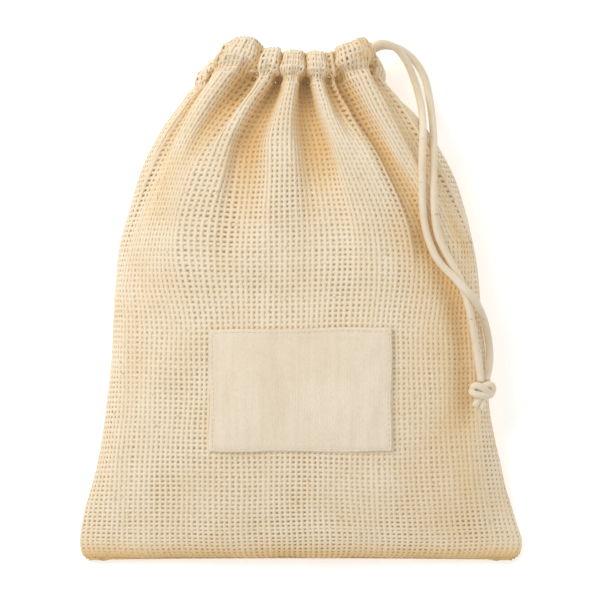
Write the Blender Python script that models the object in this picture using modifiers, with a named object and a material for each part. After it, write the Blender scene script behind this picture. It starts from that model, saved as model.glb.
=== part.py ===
"""A cotton mesh drawstring bag with a sewn patch, lying on its back with its mouth towards +Y.

The bag is one cloth: folded at the bottom, seamed at both sides and turned in at the mouth as a channel.
Tables and the shape functions are in millimetres. Objects are made in metres, +Z up.
"""
import math

import bmesh
import bpy
import numpy as np

MM = 0.001

# The cloth as it was cut: "across" runs over one face, and "up" from the bottom fold, at 0, to the
# mouth, at 300, with the channel's stitch line below it.
HALF_WIDTH = 125.0
STITCH_UP = 285.0
CLOTH_THICKNESS = 1.2

# The patch, as sewn on the front.
PATCH_LEFT = -50.8
PATCH_RIGHT = 50.8
PATCH_BOTTOM = -84.8
PATCH_TOP_LEFT = -16.9
PATCH_TOP_RIGHT = -15.2
PATCH_THICKNESS = 1.0
PATCH_GAP = 0.5

CORD_DIAMETER = 4.2

# One row for each section across the bag, from the bottom fold to the mouth.
# up: height on the cloth. y, left, right: where the section lies. crown: top of the front face.
# hip: height of the widest line. under: height of the back face at its middle.
# crown_power, crown_root, under_power: how full the front and the back are towards the sides.
SECTION_COLUMNS = ("up", "y", "left", "right", "crown", "hip", "under",
                   "crown_power", "crown_root", "under_power")
SECTIONS = (
    (0.0, -146.6, -119.3, 119.3, 7.6, 2.0, 3.4, 2.4, 1.0, 60.0),
    (3.0, -146.1, -121.8, 121.8, 10.4, 2.0, 1.6, 2.4, 1.0, 60.0),
    (8.0, -143.4, -124.3, 124.6, 14.4, 2.1, 0.4, 2.4, 1.0, 60.0),
    (16.0, -137.4, -125.4, 125.6, 19.0, 2.2, 0.0, 2.4, 1.05, 50.0),
    (30.0, -125.8, -123.8, 122.5, 25.5, 3.0, 0.0, 2.5, 1.15, 30.0),
    (59.0, -100.3, -117.3, 114.7, 36.0, 6.0, 0.0, 2.8, 1.45, 14.0),
    (100.0, -60.0, -109.5, 106.9, 45.0, 10.0, 0.0, 3.1, 1.8, 9.0),
    (140.0, -20.0, -106.2, 103.3, 49.0, 12.0, 0.0, 3.2, 2.0, 7.0),
    (180.0, 20.0, -103.5, 99.3, 50.5, 13.0, 0.0, 3.2, 2.0, 7.0),
    (220.0, 60.0, -94.2, 90.0, 50.0, 14.0, 0.0, 3.0, 2.0, 6.0),
    (250.0, 90.0, -82.0, 76.2, 49.5, 16.0, 0.0, 2.7, 2.0, 4.5),
    (268.0, 107.5, -71.5, 63.5, 49.0, 18.0, 0.0, 2.5, 2.0, 3.6),
    (280.0, 119.0, -63.5, 51.8, 48.6, 19.5, 0.0, 2.4, 2.0, 3.0),
    (285.0, 124.0, -60.5, 48.6, 46.6, 20.0, 1.4, 2.4, 2.0, 2.9),
    (291.0, 130.5, -57.5, 47.6, 49.4, 20.0, 0.0, 2.4, 2.0, 2.8),
    (296.0, 135.8, -53.5, 46.2, 49.0, 20.0, 0.2, 2.4, 2.0, 2.8),
    (300.0, 139.0, -51.0, 44.6, 46.8, 20.0, 2.0, 2.4, 2.0, 2.8),
)

# One row for each valley between two pleats of a face. cloth: where it runs on the cloth.
# mouth, stitch, neck, shoulder, chest: its x at the five heights of VALLEY_LEVELS.
# depth: at the mouth. foot: the height on the cloth where it has faded out.
# Columns: cloth, mouth, stitch, neck, shoulder, chest, depth, foot.
VALLEY_LEVELS = (300.0, 285.0, 267.0, 245.0, 223.0)
FRONT_VALLEYS = (
    (-106.0, -43.5, -54.5, -67.0, -78.0, -85.5, 8.0, 165.0),
    (-64.0, -21.6, -27.2, -42.0, -56.0, -65.0, 11.0, 225.0),
    (-36.0, -9.8, -12.6, -21.6, -32.0, -34.5, 14.0, 165.0),
    (17.0, 3.1, 3.1, 4.6, 10.0, 14.0, 14.0, 160.0),
    (58.0, 14.4, 16.6, 24.0, 37.0, 47.0, 9.0, 235.0),
    (67.0, 19.0, 22.0, 30.5, 43.5, 54.0, 12.0, 155.0),
    (105.0, 39.0, 43.5, 54.0, 67.5, 80.0, 7.0, 150.0),
)
BACK_VALLEYS = (
    (-98.0, -42.0, -48.0, -57.0, -68.0, -80.0, 6.5, 200.0),
    (-62.0, -27.0, -30.0, -36.0, -45.0, -53.0, 8.0, 180.0),
    (-24.0, -13.0, -14.0, -16.0, -20.0, -23.0, 7.5, 210.0),
    (12.0, 2.0, 3.0, 4.0, 7.0, 10.0, 8.0, 170.0),
    (48.0, 15.0, 18.0, 24.0, 32.0, 40.0, 7.0, 205.0),
    (88.0, 29.0, 34.0, 43.0, 56.0, 68.0, 7.5, 185.0),
)

# How far the crest of each front pleat stands proud of the others at the mouth, left to right.
FRONT_CRESTS = (-2.5, 0.5, -1.5, 0.0, -0.8, -5.0, 1.0, -3.0)

# How far the mouth line of each face rises above or falls below its section, across the cloth.
# Columns: across, lift.
FRONT_MOUTH_LINE = (
    (-125.0, -5.0), (-113.0, -3.5), (-104.0, 1.5), (-95.0, 6.2), (-86.0, 7.6), (-77.0, 7.0), (-69.0, 4.2),
    (-62.0, 1.0), (-50.0, 1.8), (-36.0, -1.4), (-10.0, 0.0), (17.0, -1.9), (38.0, -0.3), (58.0, -1.4),
    (67.0, -0.6), (76.0, 2.6), (86.0, 5.6), (96.0, 7.4), (106.0, 6.4), (114.0, 3.0), (120.0, -1.5),
    (125.0, -4.5),
)
BACK_MOUTH_LINE = (
    (-125.0, -5.0), (-98.0, -2.0), (-80.0, 1.0), (-43.0, 0.0), (-5.0, -1.2), (30.0, 0.4), (68.0, -0.6),
    (100.0, -2.5), (125.0, -4.5),
)

# Soft creases of the front, a row each. A negative height is a trough.
# Columns: across_from, up_from, across_to, up_to, half_width, height.
FRONT_CREASES = (
    (-108.0, 40.0, -104.0, 210.0, 7.0, 1.6),
    (86.0, 240.0, 70.0, 188.0, 6.0, -3.0),
    (70.0, 194.0, 97.0, 146.0, 7.0, -4.0),
    (97.0, 152.0, 101.0, 88.0, 7.0, -4.2),
    (102.0, 30.0, 104.0, 160.0, 8.0, 1.2),
    (-30.0, 170.0, -5.0, 235.0, 14.0, 1.8),
    (45.0, 150.0, 40.0, 215.0, 12.0, 1.6),
    (-62.0, 175.0, -70.0, 240.0, 12.0, 1.4),
    (-45.0, 165.0, 55.0, 158.0, 9.0, -0.8),
    (-70.0, 22.0, 75.0, 20.0, 10.0, 0.9),
)

# The valleys are wide below the channel and pinched to slits in it: where along the wave between two
# crests their walls stand, from 0 on the crest to 1 at the valley.
WALL_OPEN = (0.15, 0.80)
WALL_PINCHED = (0.30, 1.0)

# How much of a valley's depth is in its walls, the rest being an even wave.
WALL_SHARE = 0.7

# How far the pleats swell over the slits in the channel: those between two valleys, and the outer two.
INNER_SWELL = 0.8
OUTER_SWELL = 0.25

# In the channel the cord keeps the valleys this much shallower.
CHANNEL_SHALLOWING = 0.34

FINE = 64
EDGE_DRAW_IN = 0.9


def smooth_step(low, high, value):
    """Return 0 below low and 1 above high, with a smooth rise between."""
    part = np.clip((value - low) / (high - low), 0.0, 1.0)
    return part * part * (3.0 - 2.0 * part)


def smooth_curve(xs, ys, x):
    """Read a smooth curve through the points of a table, without overshoot."""
    xs = np.asarray(xs, float)
    ys = np.asarray(ys, float)
    steps = np.diff(xs)
    slopes = np.diff(ys) / steps
    tangents = np.zeros_like(ys)
    tangents[0] = slopes[0]
    tangents[-1] = slopes[-1]
    same_way = slopes[:-1] * slopes[1:] > 0.0
    mean = 2.0 * slopes[:-1] * slopes[1:] / np.where(same_way, slopes[:-1] + slopes[1:], 1.0)
    tangents[1:-1] = np.where(same_way, mean, 0.0)
    cell = np.clip(np.searchsorted(xs, x, side="right") - 1, 0, len(steps) - 1)
    part = (x - xs[cell]) / steps[cell]
    rest = 1.0 - part
    start = (1.0 + 2.0 * part) * rest * rest * ys[cell] + part * rest * rest * steps[cell] * tangents[cell]
    end = part * part * (3.0 - 2.0 * part) * ys[cell + 1]
    return start + end - part * part * rest * steps[cell] * tangents[cell + 1]


def section_at(up):
    """Return the named sizes of the section at a height on the cloth."""
    table = np.array(SECTIONS)
    values = {}
    for index, name in enumerate(SECTION_COLUMNS[1:], start=1):
        values[name] = float(smooth_curve(table[:, 0], table[:, index], up))
    return values


def base_line(size, face):
    """Return one face's section before its pleats, left to right, as x, z and the share of its length."""
    turn = np.linspace(0.0, math.pi, 601)
    share = -np.cos(turn)
    share = np.sign(share) * (1.0 - (1.0 - np.abs(share)) ** 1.35)
    middle = 0.5 * (size["left"] + size["right"])
    half = 0.5 * (size["right"] - size["left"])
    x = middle + half * share
    blunt = np.sqrt(np.clip(1.0 - np.abs(share) ** 60.0, 0.0, 1.0))
    if face == "front":
        full = np.clip(1.0 - np.abs(share) ** size["crown_power"], 0.0, 1.0) ** (1.0 / size["crown_root"])
        edge = min(2.0, size["crown"] - size["hip"])
        z = size["hip"] + edge * blunt + (size["crown"] - size["hip"] - edge) * full
    else:
        full = np.sqrt(np.clip(1.0 - np.abs(share) ** size["under_power"], 0.0, 1.0))
        raised = (size["hip"] - size["under"]) * (1.0 - full)
        z = size["under"] + raised * smooth_step(0.45, 0.8, np.abs(share))
    steps = np.hypot(np.diff(x), np.diff(z))
    length = np.concatenate(([0.0], np.cumsum(steps)))
    return x, z, length / length[-1]


def valley_places(size, up, face, line_x, line_share):
    """Return where each valley crosses the section, as shares of the section's length."""
    table = np.array(FRONT_VALLEYS if face == "front" else BACK_VALLEYS)
    levels = np.array(VALLEY_LEVELS)[::-1]
    even = (table[:, 0] + HALF_WIDTH) / (2.0 * HALF_WIDTH)
    below = max(levels[0] - up, 0.0)
    drawn = []
    for row in table:
        across = smooth_curve(levels, row[1:6][::-1], max(up, levels[0]))
        across += below * (row[5] - row[4]) / (VALLEY_LEVELS[3] - VALLEY_LEVELS[4])
        drawn.append(np.interp(across, line_x, line_share))
    weight = smooth_step(140.0, 235.0, up)
    places = weight * np.array(drawn) + (1.0 - weight) * even
    return np.concatenate(([0.0], places, [1.0])), table


def fold_depths(table, up):
    """Return the depth of each valley at a height, with none at the side seams."""
    depths = []
    held = 1.0 - CHANNEL_SHALLOWING * smooth_step(STITCH_UP - 3.0, STITCH_UP + 5.0, up)
    for row in table:
        grown = smooth_step(row[7], 276.0, up) ** 1.25
        depths.append(row[6] * grown * held)
    return np.array([0.0] + depths + [0.0])


def crease_height(across, up):
    """Return how far the soft creases lift the front at points of the cloth."""
    total = np.zeros_like(across)
    for a0, u0, a1, u1, half_width, height in FRONT_CREASES:
        run = math.hypot(a1 - a0, u1 - u0)
        along = ((across - a0) * (a1 - a0) + (up - u0) * (u1 - u0)) / run
        beside = ((across - a0) * (u1 - u0) - (up - u0) * (a1 - a0)) / run
        fade = 0.25 * run
        ends = smooth_step(-fade, fade, along) * smooth_step(-fade, fade, run - along)
        total += height * ends * np.exp(-((beside / half_width) ** 2))
    return total


def face_section(up, face, across):
    """Return the points of one face at a height on the cloth, for places across the cloth."""
    size = section_at(up)
    line_x, line_z, line_share = base_line(size, face)
    places, table = valley_places(size, up, face, line_x, line_share)
    depths = fold_depths(table, up)
    seams = np.concatenate(([-HALF_WIDTH], table[:, 0], [HALF_WIDTH]))
    outward = 1.0 if face == "front" else -1.0
    gathered = smooth_step(190.0, 280.0, up)
    pinched = smooth_step(STITCH_UP - 7.0, STITCH_UP + 5.0, up)
    wall_low = WALL_OPEN[0] + (WALL_PINCHED[0] - WALL_OPEN[0]) * pinched
    wall_high = WALL_OPEN[1] + (WALL_PINCHED[1] - WALL_OPEN[1]) * pinched
    phase = np.linspace(0.0, 1.0, FINE + 1)
    slope_x = np.gradient(line_x, line_share)
    slope_z = np.gradient(line_z, line_share)
    xs, zs, cloth = [], [], []
    for pleat in range(len(places) - 1):
        inner = 0 < pleat < len(places) - 2
        swell = (INNER_SWELL if inner else OUTER_SWELL) * pinched
        share = places[pleat] + (places[pleat + 1] - places[pleat]) * (
            phase - swell * np.sin(2.0 * math.pi * phase) / (2.0 * math.pi))
        wave = np.cos(math.pi * phase) ** 2
        fall = WALL_SHARE * smooth_step(wall_low, wall_high, wave) + (1.0 - WALL_SHARE) * wave
        depth = np.where(phase < 0.5, depths[pleat], depths[pleat + 1]) * fall
        if face == "front":
            depth = depth - FRONT_CRESTS[pleat] * gathered * np.sin(math.pi * phase) ** 2
        x = np.interp(share, line_share, line_x)
        z = np.interp(share, line_share, line_z)
        across_slope = np.interp(share, line_share, slope_x)
        rise = np.interp(share, line_share, slope_z)
        size_of_slope = np.hypot(across_slope, rise) + 1e-9
        x = x + outward * depth * rise / size_of_slope
        z = z - outward * depth * across_slope / size_of_slope
        length = np.concatenate(([0.0], np.cumsum(np.hypot(np.diff(x), np.diff(z)))))
        part = length / max(length[-1], 1e-9)
        xs.append(x)
        zs.append(z)
        cloth.append(seams[pleat] + (seams[pleat + 1] - seams[pleat]) * part)
    cloth = np.concatenate(cloth)
    x = np.interp(across, cloth, np.concatenate(xs))
    z = np.interp(across, cloth, np.concatenate(zs))
    line = np.array(FRONT_MOUTH_LINE if face == "front" else BACK_MOUTH_LINE)
    y = size["y"] + smooth_curve(line[:, 0], line[:, 1], across) * smooth_step(235.0, 298.0, up)
    y = y + EDGE_DRAW_IN * (1.0 - (across / HALF_WIDTH) ** 2) * (1.0 - smooth_step(0.0, 40.0, up))
    if face == "front":
        inside = 1.0 - (across / HALF_WIDTH) ** 12
        z = z + inside * crease_height(across, np.full_like(across, up))
    return np.stack((x, y * np.ones_like(x), z), axis=1)


# The calm inner flap of the channel and the cord inside it are flat ovals about the middle of the mouth:
# middle x, half width, middle height, height of the front run, height of the back run, fullness.
FLAP_OVAL = (-5.6, 36.2, 22.0, 31.5, 13.9, 2.4)
CORD_OVAL = (-4.6, 44.8, 22.0, 35.5, 9.7, 2.1)

OUTER_ROWS = (0.0, 4.0, 10.0, 20.0, 38.0, 62.0, 92.0, 122.0, 152.0, 182.0, 205.0, 224.0, 242.0, 257.0, 270.0,
              280.0, 285.0, 290.5, 296.0, 300.0)
FLAP_ROWS_BELOW_TOP = (3.0, 8.0, 12.5)
PLEAT_COLUMNS_FRONT = (0.0, 0.13, 0.31, 0.5, 0.69, 0.87)
PLEAT_COLUMNS_BACK = (0.0, 0.15, 0.38, 0.62, 0.85)

# The cord in the channel rises a little from the left end of the mouth to the right.
CHANNEL_CORD_Y = 129.2
CHANNEL_CORD_RISE = 0.9
CORD_START = math.radians(34.0)

# The opening in the top of the channel at the right side seam, for the cord, in columns each way.
OPENING_COLUMNS = 3

# Route of each free strand: out of the channel, down to the surface beside the bag, back up over its
# shoulder and down its front to the knot.
TAIL_A_ROUTE = (
    (36.6, 129.8, 24.0), (37.2, 134.4, 22.9), (39.0, 140.2, 22.5), (44.3, 143.8, 21.8), (50.2, 143.2, 19.4),
    (55.2, 140.3, 15.4), (60.2, 133.7, 9.6), (64.2, 124.4, 5.0), (67.0, 114.5, 8.0), (68.4, 104.6, 20.0),
    (68.5, 95.0, 33.0), (68.1, 85.0, 38.2), (67.7, 75.0, 42.4), (67.7, 64.0, 44.4), (68.0, 53.0, 43.6),
    (68.8, 44.3, 42.5), (70.7, 35.2, 42.4), (74.6, 25.3, 42.0), (79.4, 18.4, 41.7), (85.5, 12.3, 42.2),
    (91.0, 6.2, 42.2), (96.4, 0.7, 38.6), (100.6, -6.1, 31.0), (103.9, -14.2, 23.0), (106.0, -24.4, 18.2),
    (106.4, -33.3, 18.8), (105.5, -40.0, 22.8), (104.4, -43.8, 26.2), (104.2, -46.0, 27.4),
)
TAIL_B_ROUTE = (
    (37.0, 129.8, 17.3), (37.6, 134.6, 17.5), (40.2, 139.6, 17.3), (45.8, 142.6, 15.8), (52.0, 142.6, 12.4),
    (57.4, 140.8, 9.2), (63.2, 136.4, 6.0), (68.2, 129.8, 3.2), (71.3, 122.0, 2.4), (73.2, 112.0, 4.6),
    (74.2, 102.6, 13.2), (74.6, 93.6, 24.0), (74.6, 84.0, 32.0), (74.3, 74.0, 36.6), (74.2, 64.0, 40.8),
    (74.4, 54.0, 42.4), (75.1, 44.3, 42.0), (76.8, 35.2, 40.9), (80.7, 26.6, 40.0), (84.8, 19.1, 39.4),
    (88.3, 12.7, 38.1), (90.5, 6.6, 37.1), (92.7, 0.7, 36.1), (94.4, -6.1, 35.3), (96.1, -14.2, 34.3),
    (97.8, -24.4, 33.2), (99.3, -34.0, 31.8), (100.4, -41.0, 30.4), (100.9, -44.6, 30.2),
    (101.0, -46.3, 30.2),
)

# The knot in its own frame: right, up the bag, and out from the cloth.
KNOT_CENTRE = (102.1, -51.0, 29.3)
KNOT_TILT = math.radians(26.0)
KNOT_STRAND = 3.9
KNOT_PATHS = (
    ((-5.0, -0.2, -2.0), (-6.4, 1.8, 0.2), (-5.4, 2.9, 2.0), (-2.4, 1.9, 2.9),
     (0.8, 0.0, 2.6), (3.8, -1.6, 1.2), (5.4, -2.0, -0.8)),
    ((5.8, -2.2, -1.6), (6.0, 0.2, 0.6), (4.8, 2.8, 1.6),
     (2.2, 3.2, 1.5), (-0.4, 2.4, 0.0), (-3.2, 1.2, -1.6)),
    ((-4.3, 1.0, -2.2), (-6.9, -0.6, -0.2), (-5.7, -1.9, 1.8), (-2.1, -2.6, 2.6),
     (2.0, -2.9, 2.2), (5.0, -1.8, 0.8), (5.7, 0.6, -1.2)),
    ((-4.4, 0.2, -0.4), (-1.5, 0.5, 0.2), (1.6, 0.3, 0.0), (4.2, 0.3, -0.6)),
    ((0.2, 3.2, -0.6), (-0.8, 0.0, -0.2), (-1.6, -2.8, -0.2), (-3.3, -5.6, 0.2), (-5.9, -9.0, 0.6)),
    ((1.6, 3.2, -0.6), (1.0, 0.0, -0.2), (0.4, -2.8, -0.4), (0.0, -5.8, -0.2), (-1.4, -10.6, 0.2)),
)

SURFACE_TINTS = {
    "bag_body": ((0.80, 0.67, 0.46), 0.9),
    "label_patch": ((0.80, 0.71, 0.55), 0.85),
    "cord": ((0.84, 0.74, 0.57), 0.8),
}

# ---- objects ----


def clear_scene():
    """Remove whatever the file opened with."""
    for item in list(bpy.data.objects):
        bpy.data.objects.remove(item, do_unlink=True)


def cotton(name):
    """Return a plain cotton material for one kind of piece."""
    colour, roughness = SURFACE_TINTS[name]
    material = bpy.data.materials.new(name)
    material.use_nodes = True
    shader = material.node_tree.nodes["Principled BSDF"]
    shader.inputs["Base Color"].default_value = (*colour, 1.0)
    shader.inputs["Roughness"].default_value = roughness
    shader.inputs["Metallic"].default_value = 0.0
    return material


def add_mesh_object(name, mesh, material, collection):
    """Put a mesh in the collection as one named piece."""
    piece = bpy.data.objects.new(name, mesh)
    piece.data.materials.clear()
    piece.data.materials.append(material)
    collection.objects.link(piece)
    return piece


def oval_point(oval, share, rising):
    """Return x and z on a flat oval; share runs from -1 at the left to 1 at the right."""
    middle, half, height, front, back, fullness = oval
    full = (1.0 - min(abs(share), 1.0) ** fullness) ** 0.5
    reach = (front - height) if rising else (back - height)
    return middle + half * share, height + reach * full


def column_places(valleys, phases):
    """Return the places across one face where the cloth's columns run, left seam first."""
    seams = [-HALF_WIDTH] + [row[0] for row in valleys] + [HALF_WIDTH]
    places = []
    for left, right in zip(seams[:-1], seams[1:]):
        places += [left + (right - left) * phase for phase in phases]
    return np.array(places + [HALF_WIDTH])


def ring_at(up, front_places, back_places):
    """Return the whole way round the bag at a height: the front left to right, then the back."""
    front = face_section(up, "front", front_places)
    back = face_section(up, "back", back_places)[::-1]
    return np.concatenate((front, back[1:-1]))


def flap_ring(top_ring, below, front_count):
    """Return a ring of the calm inner flap, some way below the mouth line."""
    left = top_ring[:, 0].min()
    right = top_ring[:, 0].max()
    ring = []
    for index, (x, y, z) in enumerate(top_ring):
        share = 2.0 * (x - left) / (right - left) - 1.0
        flap_x, flap_z = oval_point(FLAP_OVAL, share, index < front_count)
        ring.append((flap_x, y - below, flap_z))
    return np.array(ring)


def bag_rings():
    """Return the rings of the cloth's outer face, from the bottom fold over the mouth to the flap."""
    front_places = column_places(FRONT_VALLEYS, PLEAT_COLUMNS_FRONT)
    back_places = column_places(BACK_VALLEYS, PLEAT_COLUMNS_BACK)
    rings = [ring_at(up, front_places, back_places) for up in OUTER_ROWS]
    front_count = len(front_places)
    flap_top = flap_ring(rings[-1], FLAP_ROWS_BELOW_TOP[0], front_count)
    lid = 0.5 * (rings[-1] + flap_top)
    lid[:, 1] = rings[-1][:, 1] - 0.6
    flaps = [flap_ring(rings[-1], below, front_count) for below in FLAP_ROWS_BELOW_TOP]
    return rings + [lid] + flaps, front_count


def build_bag(collection):
    """Make the bag's cloth as one shell with its bottom fold, pleats and channel."""
    rings, front_count = bag_rings()
    count = len(rings[0])
    shape = bmesh.new()
    rows = []
    for ring in rings:
        rows.append([shape.verts.new(tuple(MM * float(value) for value in point)) for point in ring])
    lid_row = len(OUTER_ROWS)
    seam_column = front_count - 1
    for row in range(len(rows) - 1):
        for column in range(count):
            beside = (column + 1) % count
            at_seam = seam_column - OPENING_COLUMNS <= column < seam_column + OPENING_COLUMNS
            if row in (lid_row - 1, lid_row) and at_seam:
                continue
            above = rows[row + 1]
            shape.faces.new((rows[row][column], rows[row][beside], above[beside], above[column]))
    close_bottom(shape, rows[0], rings[0], front_count)
    bmesh.ops.recalc_face_normals(shape, faces=shape.faces)
    mesh = bpy.data.meshes.new("bag_body")
    shape.to_mesh(mesh)
    shape.free()
    bag = add_mesh_object("bag_body", mesh, cotton("bag_body"), collection)
    shell = bag.modifiers.new("cloth", "SOLIDIFY")
    shell.thickness = CLOTH_THICKNESS * MM
    shell.offset = -1.0
    return bag


def close_bottom(shape, row, ring, front_count):
    """Close the bottom fold by joining the front and back columns that lie nearest in x."""
    count = len(row)
    front = 0
    back = count
    while front < front_count - 1 or back > front_count - 1:
        next_front = ring[front + 1][0] if front < front_count - 1 else math.inf
        next_back = ring[back - 1][0] if back > front_count - 1 else math.inf
        if next_front <= next_back:
            corners = (row[front], row[front + 1], row[back % count])
            front += 1
        else:
            corners = (row[front], row[(back - 1) % count], row[back % count])
            back -= 1
        if len(set(corners)) == 3:
            shape.faces.new(corners)


def front_height(x, y):
    """Return the height of the front face below the pleats, over a point of the floor."""
    table = np.array(SECTIONS)
    up = float(np.interp(y, table[:, 1], table[:, 0]))
    places = np.linspace(-HALF_WIDTH, HALF_WIDTH, 251)
    points = face_section(up, "front", places)
    return float(np.interp(x, points[:, 0], points[:, 2]))


def build_patch(collection):
    """Make the sewn patch, lying on the front's curve with its edges square."""
    across_count = 13
    up_count = 9
    shape = bmesh.new()
    grid = []
    for step_up in range(up_count):
        row = []
        for step in range(across_count):
            part = step / (across_count - 1)
            x = PATCH_LEFT + part * (PATCH_RIGHT - PATCH_LEFT)
            top = PATCH_TOP_LEFT + part * (PATCH_TOP_RIGHT - PATCH_TOP_LEFT)
            y = PATCH_BOTTOM + (top - PATCH_BOTTOM) * step_up / (up_count - 1)
            z = front_height(x, y) + PATCH_GAP
            row.append(shape.verts.new((MM * x, MM * y, MM * z)))
        grid.append(row)
    for step_up in range(up_count - 1):
        for step in range(across_count - 1):
            shape.faces.new((grid[step_up][step], grid[step_up][step + 1],
                             grid[step_up + 1][step + 1], grid[step_up + 1][step]))
    mesh = bpy.data.meshes.new("label_patch")
    shape.to_mesh(mesh)
    shape.free()
    patch = add_mesh_object("label_patch", mesh, cotton("label_patch"), collection)
    shell = patch.modifiers.new("cloth", "SOLIDIFY")
    shell.thickness = PATCH_THICKNESS * MM
    shell.offset = 1.0
    return patch


def smooth_route(route, spacing):
    """Return evenly spaced points on a smooth curve through a route."""
    points = np.array(route, float)
    chord = np.concatenate(([0.0], np.cumsum(np.linalg.norm(np.diff(points, axis=0), axis=1))))
    padded = np.concatenate(([2.0 * points[0] - points[1]], points, [2.0 * points[-1] - points[-2]]))
    fine = []
    for index in range(len(points) - 1):
        p0, p1, p2, p3 = padded[index:index + 4]
        for part in np.linspace(0.0, 1.0, 24, endpoint=False):
            square = 2.0 * p0 - 5.0 * p1 + 4.0 * p2 - p3
            cube = 3.0 * p1 - 3.0 * p2 + p3 - p0
            fine.append(0.5 * (2.0 * p1 + (p2 - p0) * part + square * part ** 2 + cube * part ** 3))
    fine = np.array(fine + [points[-1]])
    length = np.concatenate(([0.0], np.cumsum(np.linalg.norm(np.diff(fine, axis=0), axis=1))))
    count = max(4, int(round(length[-1] / spacing)))
    wanted = np.linspace(0.0, length[-1], count + 1)
    return np.stack([np.interp(wanted, length, fine[:, axis]) for axis in range(3)], axis=1)


def build_tube(name, points, diameter, collection):
    """Make a round cord along points in millimetres."""
    curve = bpy.data.curves.new(name, "CURVE")
    curve.dimensions = "3D"
    curve.bevel_depth = 0.5 * diameter * MM
    curve.bevel_resolution = 2
    curve.use_fill_caps = True
    spline = curve.splines.new("POLY")
    spline.points.add(len(points) - 1)
    for point, place in zip(spline.points, points):
        point.co = (*(MM * place), 1.0)
    cord = bpy.data.objects.new(name, curve)
    curve.materials.append(cotton("cord"))
    collection.objects.link(cord)
    return cord


def build_channel_cord(collection):
    """Make the stretch of cord that runs round inside the channel, from one tail's start to the other's."""
    points = []
    for part in np.linspace(0.0, 1.0, 64):
        turn = CORD_START + part * (2.0 * math.pi - 2.0 * CORD_START)
        share = math.cos(turn)
        x, z = oval_point(CORD_OVAL, math.copysign(abs(share) ** 0.75, share), math.sin(turn) >= 0.0)
        points.append((x, CHANNEL_CORD_Y + CHANNEL_CORD_RISE * share, z))
    return build_tube("drawstring_in_channel", smooth_route(points, 8.0), CORD_DIAMETER, collection)


def knot_place(point):
    """Turn a place in the knot's own frame into one on the bag."""
    right, along, out = point
    x = KNOT_CENTRE[0] + right * math.cos(KNOT_TILT) + out * math.sin(KNOT_TILT)
    z = KNOT_CENTRE[2] - right * math.sin(KNOT_TILT) + out * math.cos(KNOT_TILT)
    return (x, KNOT_CENTRE[1] + along, z)


def build_knot(collection):
    """Make the knot's outer form, with its two cut ends, as one solid."""
    shape = bmesh.new()
    for path in KNOT_PATHS:
        route = smooth_route([knot_place(point) for point in path], 1.2)
        strand = build_tube("knot_strand", route, KNOT_STRAND, collection)
        bpy.context.view_layer.update()
        solid = strand.evaluated_get(bpy.context.evaluated_depsgraph_get())
        mesh = bpy.data.meshes.new_from_object(solid)
        shape.from_mesh(mesh)
        bpy.data.objects.remove(strand, do_unlink=True)
        bpy.data.meshes.remove(mesh)
    bmesh.ops.remove_doubles(shape, verts=shape.verts, dist=0.00001)
    mesh = bpy.data.meshes.new("drawstring_knot")
    shape.to_mesh(mesh)
    shape.free()
    knot = add_mesh_object("drawstring_knot", mesh, cotton("cord"), collection)
    merge = knot.modifiers.new("merge", "REMESH")
    merge.mode = "VOXEL"
    merge.voxel_size = 0.0007
    lighten = knot.modifiers.new("lighten", "DECIMATE")
    lighten.ratio = 0.22
    return knot


def main():
    """Build the bag, its patch and its drawstring."""
    clear_scene()
    collection = bpy.data.collections.new("cotton_mesh_bag")
    bpy.context.scene.collection.children.link(collection)
    build_bag(collection)
    build_patch(collection)
    build_channel_cord(collection)
    build_tube("drawstring_tail_a", smooth_route(TAIL_A_ROUTE, 5.5), CORD_DIAMETER, collection)
    build_tube("drawstring_tail_b", smooth_route(TAIL_B_ROUTE, 5.5), CORD_DIAMETER, collection)
    build_knot(collection)


main()
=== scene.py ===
"""Looks of the cotton mesh drawstring bag: woven strands, sewn patch, braided cord and studio light.

The tables and the shape functions repeat the part's own, in millimetres. Objects are made in metres.
"""

import math

import bpy
import numpy as np
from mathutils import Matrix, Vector


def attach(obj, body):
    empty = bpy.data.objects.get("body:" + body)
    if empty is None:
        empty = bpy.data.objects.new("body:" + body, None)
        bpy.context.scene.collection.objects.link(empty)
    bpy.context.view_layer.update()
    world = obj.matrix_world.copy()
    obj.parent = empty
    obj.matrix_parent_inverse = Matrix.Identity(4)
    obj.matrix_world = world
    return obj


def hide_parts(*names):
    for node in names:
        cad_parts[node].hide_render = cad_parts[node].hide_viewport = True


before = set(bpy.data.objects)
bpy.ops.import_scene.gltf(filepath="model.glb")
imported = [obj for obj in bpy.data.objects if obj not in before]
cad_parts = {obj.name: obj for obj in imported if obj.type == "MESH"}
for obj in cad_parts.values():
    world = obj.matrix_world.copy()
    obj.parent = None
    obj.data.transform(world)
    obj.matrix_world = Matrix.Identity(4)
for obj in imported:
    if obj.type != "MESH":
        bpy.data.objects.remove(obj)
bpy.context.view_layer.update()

MM = 0.001

# The cloth as it was cut: "across" runs over one face, and "up" from the bottom fold, at 0, to the
# mouth, at 300, with the channel's stitch line below it.
HALF_WIDTH = 125.0
FLAT_HEIGHT = 300.0
STITCH_UP = 285.0

# The patch, as sewn on the front.
PATCH_LEFT = -50.8
PATCH_RIGHT = 50.8
PATCH_BOTTOM = -84.8
PATCH_TOP_LEFT = -16.9
PATCH_TOP_RIGHT = -15.2

CORD_DIAMETER = 4.2

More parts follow.
